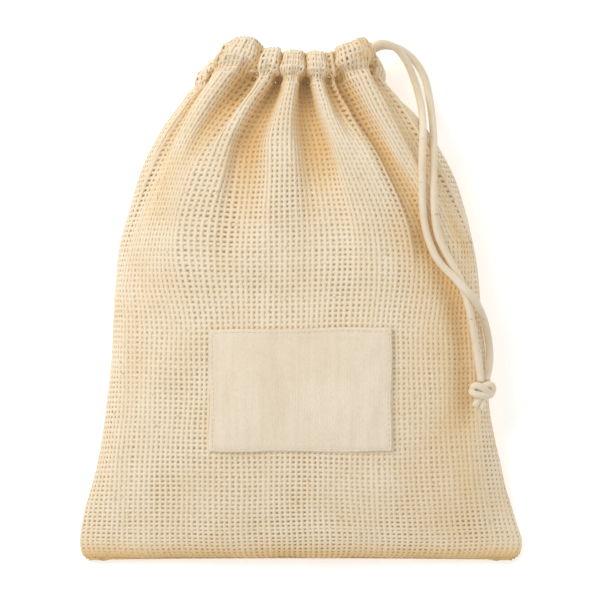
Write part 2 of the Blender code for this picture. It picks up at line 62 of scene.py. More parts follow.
# One row for each section across the bag, from the bottom fold to the mouth.
# up: height on the cloth. y, left, right: where the section lies. crown: top of the front face.
# hip: height of the widest line. under: height of the back face at its middle.
# crown_power, crown_root, under_power: how full the front and the back are towards the sides.
SECTION_COLUMNS = ("up", "y", "left", "right", "crown", "hip", "under",
                   "crown_power", "crown_root", "under_power")
SECTIONS = (
    (0.0, -146.6, -119.3, 119.3, 7.6, 2.0, 3.4, 2.4, 1.0, 60.0),
    (3.0, -146.1, -121.8, 121.8, 10.4, 2.0, 1.6, 2.4, 1.0, 60.0),
    (8.0, -143.4, -124.3, 124.6, 14.4, 2.1, 0.4, 2.4, 1.0, 60.0),
    (16.0, -137.4, -125.4, 125.6, 19.0, 2.2, 0.0, 2.4, 1.05, 50.0),
    (30.0, -125.8, -123.8, 122.5, 25.5, 3.0, 0.0, 2.5, 1.15, 30.0),
    (59.0, -100.3, -117.3, 114.7, 36.0, 6.0, 0.0, 2.8, 1.45, 14.0),
    (100.0, -60.0, -109.5, 106.9, 45.0, 10.0, 0.0, 3.1, 1.8, 9.0),
    (140.0, -20.0, -106.2, 103.3, 49.0, 12.0, 0.0, 3.2, 2.0, 7.0),
    (180.0, 20.0, -103.5, 99.3, 50.5, 13.0, 0.0, 3.2, 2.0, 7.0),
    (220.0, 60.0, -94.2, 90.0, 50.0, 14.0, 0.0, 3.0, 2.0, 6.0),
    (250.0, 90.0, -82.0, 76.2, 49.5, 16.0, 0.0, 2.7, 2.0, 4.5),
    (268.0, 107.5, -71.5, 63.5, 49.0, 18.0, 0.0, 2.5, 2.0, 3.6),
    (280.0, 119.0, -63.5, 51.8, 48.6, 19.5, 0.0, 2.4, 2.0, 3.0),
    (285.0, 124.0, -60.5, 48.6, 46.6, 20.0, 1.4, 2.4, 2.0, 2.9),
    (291.0, 130.5, -57.5, 47.6, 49.4, 20.0, 0.0, 2.4, 2.0, 2.8),
    (296.0, 135.8, -53.5, 46.2, 49.0, 20.0, 0.2, 2.4, 2.0, 2.8),
    (300.0, 139.0, -51.0, 44.6, 46.8, 20.0, 2.0, 2.4, 2.0, 2.8),
)

# One row for each valley between two pleats of a face. cloth: where it runs on the cloth.
# mouth, stitch, neck, shoulder, chest: its x at the five heights of VALLEY_LEVELS.
# depth: at the mouth. foot: the height on the cloth where it has faded out.
# Columns: cloth, mouth, stitch, neck, shoulder, chest, depth, foot.
VALLEY_LEVELS = (300.0, 285.0, 267.0, 245.0, 223.0)
FRONT_VALLEYS = (
    (-106.0, -43.5, -54.5, -67.0, -78.0, -85.5, 8.0, 165.0),
    (-64.0, -21.6, -27.2, -42.0, -56.0, -65.0, 11.0, 225.0),
    (-36.0, -9.8, -12.6, -21.6, -32.0, -34.5, 14.0, 165.0),
    (17.0, 3.1, 3.1, 4.6, 10.0, 14.0, 14.0, 160.0),
    (58.0, 14.4, 16.6, 24.0, 37.0, 47.0, 9.0, 235.0),
    (67.0, 19.0, 22.0, 30.5, 43.5, 54.0, 12.0, 155.0),
    (105.0, 39.0, 43.5, 54.0, 67.5, 80.0, 7.0, 150.0),
)
BACK_VALLEYS = (
    (-98.0, -42.0, -48.0, -57.0, -68.0, -80.0, 6.5, 200.0),
    (-62.0, -27.0, -30.0, -36.0, -45.0, -53.0, 8.0, 180.0),
    (-24.0, -13.0, -14.0, -16.0, -20.0, -23.0, 7.5, 210.0),
    (12.0, 2.0, 3.0, 4.0, 7.0, 10.0, 8.0, 170.0),
    (48.0, 15.0, 18.0, 24.0, 32.0, 40.0, 7.0, 205.0),
    (88.0, 29.0, 34.0, 43.0, 56.0, 68.0, 7.5, 185.0),
)

# How far the crest of each front pleat stands proud of the others at the mouth, left to right.
FRONT_CRESTS = (-2.5, 0.5, -1.5, 0.0, -0.8, -5.0, 1.0, -3.0)

# How far the mouth line of each face rises above or falls below its section, across the cloth.
# Columns: across, lift.
FRONT_MOUTH_LINE = (
    (-125.0, -5.0), (-113.0, -3.5), (-104.0, 1.5), (-95.0, 6.2), (-86.0, 7.6), (-77.0, 7.0), (-69.0, 4.2),
    (-62.0, 1.0), (-50.0, 1.8), (-36.0, -1.4), (-10.0, 0.0), (17.0, -1.9), (38.0, -0.3), (58.0, -1.4),
    (67.0, -0.6), (76.0, 2.6), (86.0, 5.6), (96.0, 7.4), (106.0, 6.4), (114.0, 3.0), (120.0, -1.5),
    (125.0, -4.5),
)
BACK_MOUTH_LINE = (
    (-125.0, -5.0), (-98.0, -2.0), (-80.0, 1.0), (-43.0, 0.0), (-5.0, -1.2), (30.0, 0.4), (68.0, -0.6),
    (100.0, -2.5), (125.0, -4.5),
)

# Soft creases of the front, a row each. A negative height is a trough.
# Columns: across_from, up_from, across_to, up_to, half_width, height.
FRONT_CREASES = (
    (-108.0, 40.0, -104.0, 210.0, 7.0, 1.6),
    (86.0, 240.0, 70.0, 188.0, 6.0, -3.0),
    (70.0, 194.0, 97.0, 146.0, 7.0, -4.0),
    (97.0, 152.0, 101.0, 88.0, 7.0, -4.2),
    (102.0, 30.0, 104.0, 160.0, 8.0, 1.2),
    (-30.0, 170.0, -5.0, 235.0, 14.0, 1.8),
    (45.0, 150.0, 40.0, 215.0, 12.0, 1.6),
    (-62.0, 175.0, -70.0, 240.0, 12.0, 1.4),
    (-45.0, 165.0, 55.0, 158.0, 9.0, -0.8),
    (-70.0, 22.0, 75.0, 20.0, 10.0, 0.9),
)

# The valleys are wide below the channel and pinched to slits in it: where along the wave between two
# crests their walls stand, from 0 on the crest to 1 at the valley.
WALL_OPEN = (0.15, 0.80)
WALL_PINCHED = (0.30, 1.0)

# How much of a valley's depth is in its walls, the rest being an even wave.
WALL_SHARE = 0.7

# How far the pleats swell over the slits in the channel: those between two valleys, and the outer two.
INNER_SWELL = 0.8
OUTER_SWELL = 0.25

# In the channel the cord keeps the valleys this much shallower.
CHANNEL_SHALLOWING = 0.34

FINE = 64
EDGE_DRAW_IN = 0.9


def smooth_step(low, high, value):
    """Return 0 below low and 1 above high, with a smooth rise between."""
    part = np.clip((value - low) / (high - low), 0.0, 1.0)
    return part * part * (3.0 - 2.0 * part)


def smooth_curve(xs, ys, x):
    """Read a smooth curve through the points of a table, without overshoot."""
    xs = np.asarray(xs, float)
    ys = np.asarray(ys, float)
    steps = np.diff(xs)
    slopes = np.diff(ys) / steps
    tangents = np.zeros_like(ys)
    tangents[0] = slopes[0]
    tangents[-1] = slopes[-1]
    same_way = slopes[:-1] * slopes[1:] > 0.0
    mean = 2.0 * slopes[:-1] * slopes[1:] / np.where(same_way, slopes[:-1] + slopes[1:], 1.0)
    tangents[1:-1] = np.where(same_way, mean, 0.0)
    cell = np.clip(np.searchsorted(xs, x, side="right") - 1, 0, len(steps) - 1)
    part = (x - xs[cell]) / steps[cell]
    rest = 1.0 - part
    start = (1.0 + 2.0 * part) * rest * rest * ys[cell] + part * rest * rest * steps[cell] * tangents[cell]
    end = part * part * (3.0 - 2.0 * part) * ys[cell + 1]
    return start + end - part * part * rest * steps[cell] * tangents[cell + 1]


def section_at(up):
    """Return the named sizes of the section at a height on the cloth."""
    table = np.array(SECTIONS)
    values = {}
    for index, name in enumerate(SECTION_COLUMNS[1:], start=1):
        values[name] = float(smooth_curve(table[:, 0], table[:, index], up))
    return values


def base_line(size, face):
    """Return one face's section before its pleats, left to right, as x, z and the share of its length."""
    turn = np.linspace(0.0, math.pi, 601)
    share = -np.cos(turn)
    share = np.sign(share) * (1.0 - (1.0 - np.abs(share)) ** 1.35)
    middle = 0.5 * (size["left"] + size["right"])
    half = 0.5 * (size["right"] - size["left"])
    x = middle + half * share
    blunt = np.sqrt(np.clip(1.0 - np.abs(share) ** 60.0, 0.0, 1.0))
    if face == "front":
        full = np.clip(1.0 - np.abs(share) ** size["crown_power"], 0.0, 1.0) ** (1.0 / size["crown_root"])
        edge = min(2.0, size["crown"] - size["hip"])
        z = size["hip"] + edge * blunt + (size["crown"] - size["hip"] - edge) * full
    else:
        full = np.sqrt(np.clip(1.0 - np.abs(share) ** size["under_power"], 0.0, 1.0))
        raised = (size["hip"] - size["under"]) * (1.0 - full)
        z = size["under"] + raised * smooth_step(0.45, 0.8, np.abs(share))
    steps = np.hypot(np.diff(x), np.diff(z))
    length = np.concatenate(([0.0], np.cumsum(steps)))
    return x, z, length / length[-1]


def valley_places(up, face, line_x, line_share):
    """Return where each valley crosses the section, as shares of the section's length."""
    table = np.array(FRONT_VALLEYS if face == "front" else BACK_VALLEYS)
    levels = np.array(VALLEY_LEVELS)[::-1]
    even = (table[:, 0] + HALF_WIDTH) / (2.0 * HALF_WIDTH)
    below = max(levels[0] - up, 0.0)
    drawn = []
    for row in table:
        across = smooth_curve(levels, row[1:6][::-1], max(up, levels[0]))
        across += below * (row[5] - row[4]) / (VALLEY_LEVELS[3] - VALLEY_LEVELS[4])
        drawn.append(np.interp(across, line_x, line_share))
    weight = smooth_step(140.0, 235.0, up)
    places = weight * np.array(drawn) + (1.0 - weight) * even
    return np.concatenate(([0.0], places, [1.0])), table


def fold_depths(table, up):
    """Return the depth of each valley at a height, with none at the side seams."""
    depths = []
    held = 1.0 - CHANNEL_SHALLOWING * smooth_step(STITCH_UP - 3.0, STITCH_UP + 5.0, up)
    for row in table:
        grown = smooth_step(row[7], 276.0, up) ** 1.25
        depths.append(row[6] * grown * held)
    return np.array([0.0] + depths + [0.0])


def crease_height(across, up):
    """Return how far the soft creases lift the front at points of the cloth."""
    total = np.zeros_like(across)
    for a0, u0, a1, u1, half_width, height in FRONT_CREASES:
        run = math.hypot(a1 - a0, u1 - u0)
        along = ((across - a0) * (a1 - a0) + (up - u0) * (u1 - u0)) / run
        beside = ((across - a0) * (u1 - u0) - (up - u0) * (a1 - a0)) / run
        fade = 0.25 * run
        ends = smooth_step(-fade, fade, along) * smooth_step(-fade, fade, run - along)
        total += height * ends * np.exp(-((beside / half_width) ** 2))
    return total


def face_section(up, face, across):
    """Return the points of one face at a height on the cloth, for places across the cloth."""
    size = section_at(up)
    line_x, line_z, line_share = base_line(size, face)
    places, table = valley_places(up, face, line_x, line_share)
    depths = fold_depths(table, up)
    seams = np.concatenate(([-HALF_WIDTH], table[:, 0], [HALF_WIDTH]))
    outward = 1.0 if face == "front" else -1.0
    gathered = smooth_step(190.0, 280.0, up)
    pinched = smooth_step(STITCH_UP - 7.0, STITCH_UP + 5.0, up)
    wall_low = WALL_OPEN[0] + (WALL_PINCHED[0] - WALL_OPEN[0]) * pinched
    wall_high = WALL_OPEN[1] + (WALL_PINCHED[1] - WALL_OPEN[1]) * pinched
    phase = np.linspace(0.0, 1.0, FINE + 1)
    slope_x = np.gradient(line_x, line_share)
    slope_z = np.gradient(line_z, line_share)
    xs, zs, cloth = [], [], []
    for pleat in range(len(places) - 1):
        inner = 0 < pleat < len(places) - 2
        swell = (INNER_SWELL if inner else OUTER_SWELL) * pinched
        share = places[pleat] + (places[pleat + 1] - places[pleat]) * (
            phase - swell * np.sin(2.0 * math.pi * phase) / (2.0 * math.pi))
        wave = np.cos(math.pi * phase) ** 2
        fall = WALL_SHARE * smooth_step(wall_low, wall_high, wave) + (1.0 - WALL_SHARE) * wave
        depth = np.where(phase < 0.5, depths[pleat], depths[pleat + 1]) * fall
        if face == "front":
            depth = depth - FRONT_CRESTS[pleat] * gathered * np.sin(math.pi * phase) ** 2
        x = np.interp(share, line_share, line_x)
        z = np.interp(share, line_share, line_z)
        across_slope = np.interp(share, line_share, slope_x)
        rise = np.interp(share, line_share, slope_z)
        size_of_slope = np.hypot(across_slope, rise) + 1e-9
        x = x + outward * depth * rise / size_of_slope
        z = z - outward * depth * across_slope / size_of_slope
        length = np.concatenate(([0.0], np.cumsum(np.hypot(np.diff(x), np.diff(z)))))
        part = length / max(length[-1], 1e-9)
        xs.append(x)
        zs.append(z)
        cloth.append(seams[pleat] + (seams[pleat + 1] - seams[pleat]) * part)
    cloth = np.concatenate(cloth)
    x = np.interp(across, cloth, np.concatenate(xs))
    z = np.interp(across, cloth, np.concatenate(zs))
    line = np.array(FRONT_MOUTH_LINE if face == "front" else BACK_MOUTH_LINE)
    y = size["y"] + smooth_curve(line[:, 0], line[:, 1], across) * smooth_step(235.0, 298.0, up)
    y = y + EDGE_DRAW_IN * (1.0 - (across / HALF_WIDTH) ** 2) * (1.0 - smooth_step(0.0, 40.0, up))
    if face == "front":
        inside = 1.0 - (across / HALF_WIDTH) ** 12
        z = z + inside * crease_height(across, np.full_like(across, up))
    return np.stack((x, y * np.ones_like(x), z), axis=1)


# The calm inner flap of the channel and the cord inside it are flat ovals about the middle of the mouth:
# middle x, half width, middle height, height of the front run, height of the back run, fullness.
FLAP_OVAL = (-5.6, 36.2, 22.0, 31.5, 13.9, 2.4)
CORD_OVAL = (-4.6, 44.8, 22.0, 35.5, 9.7, 2.1)

# The cord in the channel rises a little from the left end of the mouth to the right.
CHANNEL_CORD_Y = 129.2
CHANNEL_CORD_RISE = 0.9
CORD_START = math.radians(34.0)

# Route of each free strand: out of the channel, down to the surface beside the bag, back up over its
# shoulder and down its front to the knot.
TAIL_A_ROUTE = (
    (36.6, 129.8, 24.0), (37.2, 134.4, 22.9), (39.0, 140.2, 22.5), (44.3, 143.8, 21.8), (50.2, 143.2, 19.4),
    (55.2, 140.3, 15.4), (60.2, 133.7, 9.6), (64.2, 124.4, 5.0), (67.0, 114.5, 8.0), (68.4, 104.6, 20.0),
    (68.5, 95.0, 33.0), (68.1, 85.0, 38.2), (67.7, 75.0, 42.4), (67.7, 64.0, 44.4), (68.0, 53.0, 43.6),
    (68.8, 44.3, 42.5), (70.7, 35.2, 42.4), (74.6, 25.3, 42.0), (79.4, 18.4, 41.7), (85.5, 12.3, 42.2),
    (91.0, 6.2, 42.2), (96.4, 0.7, 38.6), (100.6, -6.1, 31.0), (103.9, -14.2, 23.0), (106.0, -24.4, 18.2),
    (106.4, -33.3, 18.8), (105.5, -40.0, 22.8), (104.4, -43.8, 26.2), (104.2, -46.0, 27.4),
)
TAIL_B_ROUTE = (
    (37.0, 129.8, 17.3), (37.6, 134.6, 17.5), (40.2, 139.6, 17.3), (45.8, 142.6, 15.8), (52.0, 142.6, 12.4),
    (57.4, 140.8, 9.2), (63.2, 136.4, 6.0), (68.2, 129.8, 3.2), (71.3, 122.0, 2.4), (73.2, 112.0, 4.6),
    (74.2, 102.6, 13.2), (74.6, 93.6, 24.0), (74.6, 84.0, 32.0), (74.3, 74.0, 36.6), (74.2, 64.0, 40.8),
    (74.4, 54.0, 42.4), (75.1, 44.3, 42.0), (76.8, 35.2, 40.9), (80.7, 26.6, 40.0), (84.8, 19.1, 39.4),
    (88.3, 12.7, 38.1), (90.5, 6.6, 37.1), (92.7, 0.7, 36.1), (94.4, -6.1, 35.3), (96.1, -14.2, 34.3),
    (97.8, -24.4, 33.2), (99.3, -34.0, 31.8), (100.4, -41.0, 30.4), (100.9, -44.6, 30.2),
    (101.0, -46.3, 30.2),
)

# The knot in its own frame: right, up the bag, and out from the cloth.
KNOT_CENTRE = (102.1, -51.0, 29.3)
KNOT_TILT = math.radians(26.0)
KNOT_STRAND = 3.9
KNOT_PATHS = (
    ((-5.0, -0.2, -2.0), (-6.4, 1.8, 0.2), (-5.4, 2.9, 2.0), (-2.4, 1.9, 2.9),
     (0.8, 0.0, 2.6), (3.8, -1.6, 1.2), (5.4, -2.0, -0.8)),
    ((5.8, -2.2, -1.6), (6.0, 0.2, 0.6), (4.8, 2.8, 1.6),
     (2.2, 3.2, 1.5), (-0.4, 2.4, 0.0), (-3.2, 1.2, -1.6)),
    ((-4.3, 1.0, -2.2), (-6.9, -0.6, -0.2), (-5.7, -1.9, 1.8), (-2.1, -2.6, 2.6),
     (2.0, -2.9, 2.2), (5.0, -1.8, 0.8), (5.7, 0.6, -1.2)),
    ((-4.4, 0.2, -0.4), (-1.5, 0.5, 0.2), (1.6, 0.3, 0.0), (4.2, 0.3, -0.6)),
    ((0.2, 3.2, -0.6), (-0.8, 0.0, -0.2), (-1.6, -2.8, -0.2), (-3.3, -5.6, 0.2), (-5.9, -9.0, 0.6)),
    ((1.6, 3.2, -0.6), (1.0, 0.0, -0.2), (0.4, -2.8, -0.4), (0.0, -5.8, -0.2), (-1.4, -10.6, 0.2)),
)


def oval_point(oval, share, rising):
    """Return x and z on a flat oval; share runs from -1 at the left to 1 at the right."""
    middle, half, height, front, back, fullness = oval
    full = (1.0 - min(abs(share), 1.0) ** fullness) ** 0.5
    reach = (front - height) if rising else (back - height)
    return middle + half * share, height + reach * full


def front_height(x, y):
    """Return the height of the front face below the pleats, over a point of the floor."""
    table = np.array(SECTIONS)
    up = float(np.interp(y, table[:, 1], table[:, 0]))
    places = np.linspace(-HALF_WIDTH, HALF_WIDTH, 251)
    points = face_section(up, "front", places)
    return float(np.interp(x, points[:, 0], points[:, 2]))


def smooth_route(route, spacing):
    """Return evenly spaced points on a smooth curve through a route."""
    points = np.array(route, float)
    padded = np.concatenate(([2.0 * points[0] - points[1]], points, [2.0 * points[-1] - points[-2]]))
    fine = []
    for index in range(len(points) - 1):
        p0, p1, p2, p3 = padded[index:index + 4]
        for part in np.linspace(0.0, 1.0, 24, endpoint=False):
            square = 2.0 * p0 - 5.0 * p1 + 4.0 * p2 - p3
            cube = 3.0 * p1 - 3.0 * p2 + p3 - p0
            fine.append(0.5 * (2.0 * p1 + (p2 - p0) * part + square * part ** 2 + cube * part ** 3))
    fine = np.array(fine + [points[-1]])
    length = np.concatenate(([0.0], np.cumsum(np.linalg.norm(np.diff(fine, axis=0), axis=1))))
    count = max(4, int(round(length[-1] / spacing)))
    wanted = np.linspace(0.0, length[-1], count + 1)
    return np.stack([np.interp(wanted, length, fine[:, axis]) for axis in range(3)], axis=1)


def knot_place(point):
    """Turn a place in the knot's own frame into one on the bag."""
    right, along, out = point
    x = KNOT_CENTRE[0] + right * math.cos(KNOT_TILT) + out * math.sin(KNOT_TILT)
    z = KNOT_CENTRE[2] - right * math.sin(KNOT_TILT) + out * math.cos(KNOT_TILT)
    return (x, KNOT_CENTRE[1] + along, z)


# ---- camera, floor and light ----

# In metres. VIEW_WIDTH is how much the picture takes in at the height of the aim.
VIEW_WIDTH = 0.3371
CAMERA_HEIGHT = 2.4
CAMERA_AIM = (-0.0003, -0.0003, 0.022)
SENSOR = 36.0
FLOOR_HALF = 4.0
FLOOR_DROP = 0.0002
FLOOR_GLOW = 0.36

KEY_POWER = 13.4
KEY_PLACE = (-0.95, 0.75, 1.25)
FILL_POWER = 1.0
FILL_PLACE = (1.0, -0.9, 1.1)
SKY_STRENGTH = 0.62


def add_camera():
    """Look straight down on the bag, with its mouth towards the top of the picture."""
    lens = bpy.data.cameras.new("camera")
    lens.sensor_width = SENSOR
    lens.lens = SENSOR * CAMERA_HEIGHT / VIEW_WIDTH
    lens.clip_start = 0.1
    lens.clip_end = 30.0
    camera = bpy.data.objects.new("camera", lens)
    camera.location = (CAMERA_AIM[0], CAMERA_AIM[1], CAMERA_AIM[2] + CAMERA_HEIGHT)
    bpy.context.scene.collection.objects.link(camera)
    bpy.context.scene.camera = camera


def add_area_light(name, place, size, power, colour):
    """Add one square soft light that points at the bag."""
    data = bpy.data.lights.new(name, "AREA")
    data.size = size
    data.energy = power
    data.color = colour
    light = bpy.data.objects.new(name, data)
    light.location = place
    light.rotation_euler = (Vector((0.0, 0.0, 0.02)) - Vector(place)).to_track_quat("-Z", "Y").to_euler()
    bpy.context.scene.collection.objects.link(light)


def add_floor_and_light():
    """Make the plain white floor, the large soft key from the upper left, a fill and an even sky."""
    material = bpy.data.materials.new("floor_white")
    material.use_nodes = True
    shader = material.node_tree.nodes["Principled BSDF"]
    shader.inputs["Base Color"].default_value = (0.93, 0.93, 0.93, 1.0)
    shader.inputs["Roughness"].default_value = 0.95
    shader.inputs["Emission Color"].default_value = (1.0, 1.0, 1.0, 1.0)
    shader.inputs["Emission Strength"].default_value = FLOOR_GLOW
    mesh = bpy.data.meshes.new("floor")
    corners = [(-FLOOR_HALF, -FLOOR_HALF, 0.0), (FLOOR_HALF, -FLOOR_HALF, 0.0),
               (FLOOR_HALF, FLOOR_HALF, 0.0), (-FLOOR_HALF, FLOOR_HALF, 0.0)]
    mesh.from_pydata(corners, [], [(0, 1, 2, 3)])
    mesh.materials.append(material)
    floor = bpy.data.objects.new("floor", mesh)
    floor.location = (0.0, 0.0, -FLOOR_DROP)
    bpy.context.scene.collection.objects.link(floor)
    add_area_light("key", KEY_PLACE, 0.9, KEY_POWER, (1.0, 0.985, 0.96))
    add_area_light("fill", FILL_PLACE, 1.4, FILL_POWER, (1.0, 0.99, 0.97))
    world = bpy.data.worlds.new("sky")
    world.use_nodes = True
    world.node_tree.nodes["Background"].inputs["Color"].default_value = (1.0, 1.0, 1.0, 1.0)
    world.node_tree.nodes["Background"].inputs["Strength"].default_value = SKY_STRENGTH
    bpy.context.scene.world = world
    bpy.context.scene.view_settings.view_transform = "Standard"


# ---- materials ----

# A band texture of scale 1 repeats in this many metres.
WAVE_PERIOD = math.pi / 10.0
CANVAS_THREAD = 0.00085

# Raw cotton: its pale and warm tones, and what multiplies them with the depth of shade.
YARN_PALE = (0.850, 0.745, 0.580)
YARN_WARM = (0.815, 0.685, 0.495)
YARN_DEEP = ((0.0, (1.0, 1.0, 1.0)), (0.32, (0.96, 0.88, 0.74)), (0.7, (0.87, 0.69, 0.43)),
             (1.0, (0.36, 0.23, 0.10)))

# A faint plain glow that stands for the light coming through loose yarn.
YARN_GLOW = (1.0, 0.70, 0.36)
YARN_GLOW_STRENGTH = 0.09
PATCH_GLOW_SHARE = 0.25

CORD_PALE = (0.92, 0.815, 0.64)
CORD_WARM = (0.86, 0.73, 0.54)
PATCH_PALE = (0.925, 0.815, 0.655)
PATCH_WARM = (0.875, 0.755, 0.585)


def new_material(name, roughness):
    """Return a material, its node tree and its shader."""
    material = bpy.data.materials.new(name)
    material.use_nodes = True
    tree = material.node_tree
    shader = tree.nodes["Principled BSDF"]
    shader.inputs["Roughness"].default_value = roughness
    shader.inputs["Specular IOR Level"].default_value = 0.25
    shader.inputs["Sheen Weight"].default_value = 0.12
    shader.inputs["Sheen Roughness"].default_value = 0.6
    return material, tree, shader


def noise_node(tree, scale, detail, stretch=(1.0, 1.0, 1.0)):
    """Return a noise texture on object coordinates, stretched along the axes."""
    place = tree.nodes.new("ShaderNodeTexCoord")
    turn = tree.nodes.new("ShaderNodeMapping")
    turn.inputs["Scale"].default_value = stretch
    tree.links.new(place.outputs["Object"], turn.inputs["Vector"])
    noise = tree.nodes.new("ShaderNodeTexNoise")
    noise.inputs["Scale"].default_value = scale
    noise.inputs["Detail"].default_value = detail
    noise.inputs["Roughness"].default_value = 0.6
    tree.links.new(turn.outputs["Vector"], noise.inputs["Vector"])
    return noise.outputs["Fac"]


def ramp_node(tree, factor, stops):
    """Return a colour ramp's colour, from (place, colour) stops."""
    ramp = tree.nodes.new("ShaderNodeValToRGB")
    ramp.color_ramp.elements[0].position = stops[0][0]
    ramp.color_ramp.elements[0].color = (*stops[0][1], 1.0)
    ramp.color_ramp.elements[1].position = stops[-1][0]
    ramp.color_ramp.elements[1].color = (*stops[-1][1], 1.0)
    for position, colour in stops[1:-1]:
        stop = ramp.color_ramp.elements.new(position)
        stop.color = (*colour, 1.0)
    tree.links.new(factor, ramp.inputs["Fac"])
    return ramp.outputs["Color"]


def multiply_node(tree, first, second, amount):
    """Return two colours multiplied."""
    mix = tree.nodes.new("ShaderNodeMix")
    mix.data_type = "RGBA"
    mix.blend_type = "MULTIPLY"
    mix.inputs[0].default_value = amount
    tree.links.new(first, mix.inputs[6])
    tree.links.new(second, mix.inputs[7])
    return mix.outputs[2]


def add_bump(tree, shader, height, strength, distance):
    """Put a bump under the shader, over any bump that is there."""
    bump = tree.nodes.new("ShaderNodeBump")
    bump.inputs["Strength"].default_value = strength
    bump.inputs["Distance"].default_value = distance
    tree.links.new(height, bump.inputs["Height"])
    normal = shader.inputs["Normal"]
    if normal.is_linked:
        tree.links.new(normal.links[0].from_socket, bump.inputs["Normal"])
    tree.links.new(bump.outputs["Normal"], normal)


def cotton_yarn(name, pale, warm, fibre_scale, deep=None, glow=0.0):
    """Loosely spun raw cotton: fine fibres, slow shifts from pale to warm, and darker specks of seed husk.

    deep is the golden colour that light between the pleats gives the cloth, by its "shade" attribute.
    glow is the little light that comes through the loose yarn into its own shade.
    """
    material, tree, shader = new_material(name, 0.85)
    slow = ramp_node(tree, noise_node(tree, 38.0, 3.0), [(0.36, warm), (0.64, pale)])
    fibre = ramp_node(tree, noise_node(tree, fibre_scale, 4.0),
                      [(0.25, (0.80, 0.76, 0.70)), (0.5, (1.0, 1.0, 1.0)), (0.8, (1.0, 1.0, 1.0))])
    husk = ramp_node(tree, noise_node(tree, 330.0, 1.0),
                     [(0.20, (0.72, 0.60, 0.42)), (0.30, (1.0, 1.0, 1.0))])
    colour = multiply_node(tree, multiply_node(tree, slow, fibre, 0.55), husk, 0.8)
    if deep is not None:
        shade = tree.nodes.new("ShaderNodeAttribute")
        shade.attribute_name = "shade"
        colour = multiply_node(tree, colour, ramp_node(tree, shade.outputs["Fac"], deep), 1.0)
    tree.links.new(colour, shader.inputs["Base Color"])
    add_bump(tree, shader, noise_node(tree, fibre_scale, 5.0), 0.55, 0.00025)
    shader.inputs["Emission Color"].default_value = (*YARN_GLOW, 1.0)
    shader.inputs["Emission Strength"].default_value = glow
    return material


def canvas_material():
    """Plain tight canvas for the patch: a fine weave with its upright threads showing most."""
    material, tree, shader = new_material("patch_canvas", 0.88)
    place = tree.nodes.new("ShaderNodeTexCoord")
    slow = ramp_node(tree, noise_node(tree, 22.0, 3.0), [(0.35, PATCH_WARM), (0.65, PATCH_PALE)])
    streak = ramp_node(tree, noise_node(tree, 260.0, 3.0, (1.0, 0.10, 0.10)),
                       [(0.3, (0.93, 0.92, 0.90)), (0.6, (1.0, 1.0, 1.0))])
    thread = ramp_node(tree, noise_node(tree, 1500.0, 2.0, (1.0, 0.35, 0.35)),
                       [(0.3, (0.90, 0.88, 0.84)), (0.55, (1.0, 1.0, 1.0))])
    colour = multiply_node(tree, multiply_node(tree, slow, streak, 0.8), thread, 0.7)
    tree.links.new(colour, shader.inputs["Base Color"])
    # A faint painted glow, a share of the yarn's, stands for light coming through the canvas.
    shader.inputs["Emission Color"].default_value = (*YARN_GLOW, 1.0)
    shader.inputs["Emission Strength"].default_value = PATCH_GLOW_SHARE * YARN_GLOW_STRENGTH
    for direction, strength in (("X", 0.35), ("Y", 0.22)):
        wave = tree.nodes.new("ShaderNodeTexWave")
        wave.wave_type = "BANDS"
        wave.bands_direction = direction
        wave.inputs["Scale"].default_value = WAVE_PERIOD / CANVAS_THREAD
        wave.inputs["Distortion"].default_value = 0.6
        wave.inputs["Detail"].default_value = 2.0
        tree.links.new(place.outputs["Object"], wave.inputs["Vector"])
        add_bump(tree, shader, wave.outputs["Fac"], strength, 0.00018)
    return material


# ---- strands ----

# How many strands run up and across each face. The grid of a face has two rows and about four columns
# to a crossing, with two rows for the fold below it and FLAP_ROWS above it.
WARPS = 82
WEFTS = 106
WARP_PITCH = 2.0 * HALF_WIDTH / WARPS
WEFT_PITCH = FLAT_HEIGHT / WEFTS
ROW_STEP = 0.5 * WEFT_PITCH
FOLD_ROWS = 2
FLAP_ROWS = 11
COLUMNS = 330
COLUMNS_PER_MM = COLUMNS / (2.0 * HALF_WIDTH)

# The strands' middle lies this far inside the cloth's outer face. WARP strands run up and WEFT strands
# across. They bend over and under by WAVE, and the ones that run up stand out by WARP_RISE.
CLOTH_MIDDLE = 0.6
WARP_WIDTH = 2.46
WEFT_WIDTH = 2.28
STRAND_THICKNESS = 0.86
WARP_WAVE = 0.05
WEFT_WAVE = 0.10
WARP_RISE = 0.08

# How much thinner the strands are where the mesh has drawn open, and how far they wander sideways.
LOOSENESS = 0.22
DRIFT = 0.55
SIDE_SEAM = 6.0

# The back's crossings lie half a mesh above the front's, and its weave is a little closer, so that
# cotton lies behind the front's holes. SIDES is how many sides each strand has.
FIRST_WEFT_ROW = {"front": 1, "back": 2}
FILL = {"front": 1.0, "back": 1.09}
SIDES = {"front": 5, "back": 4}
SEEDS = {"front": 11, "back": 23}

# The flap lies this far inside the outer cloth at the fold, and from this row on it is a calm oval
# inside the cord.
FLAP_FOLD = 1.3
FLAP_CALM_ROW = 5.0

# The nip of the channel's stitch line, and the crumples of the channel.
NIP_DEPTH = 1.5
NIP_HALF = 2.2
CRUMPLE = 0.65

# A place counts as shaded by crests up to this many grid columns away, and fully so at this depth.
# VALLEY_SHADE is the depth of shade below the channel, and FOOT_SHADE that along the bottom edge.
SHADE_WINDOW = 24
SHADE_FULL_DEPTH = 9.0
VALLEY_SHADE = 0.72
FOOT_SHADE = 0.74

# Places of the front where the mesh has drawn open, or closed where the amount is negative.
# Columns: across, up, half_across, half_up, amount.
DRAWN_PLACES = (
    (-120.0, 150.0, 7.0, 90.0, 1.3),
    (-96.0, 115.0, 17.0, 62.0, -0.9),
    (-70.0, 175.0, 34.0, 50.0, -0.6),
    (0.0, 12.0, 160.0, 34.0, 0.75),
    (112.0, 40.0, 18.0, 34.0, 0.35),
    (112.0, 150.0, 8.0, 60.0, 0.5),
    (78.0, 76.0, 14.0, 34.0, -0.8),
    (10.0, 150.0, 80.0, 60.0, -0.6),
)


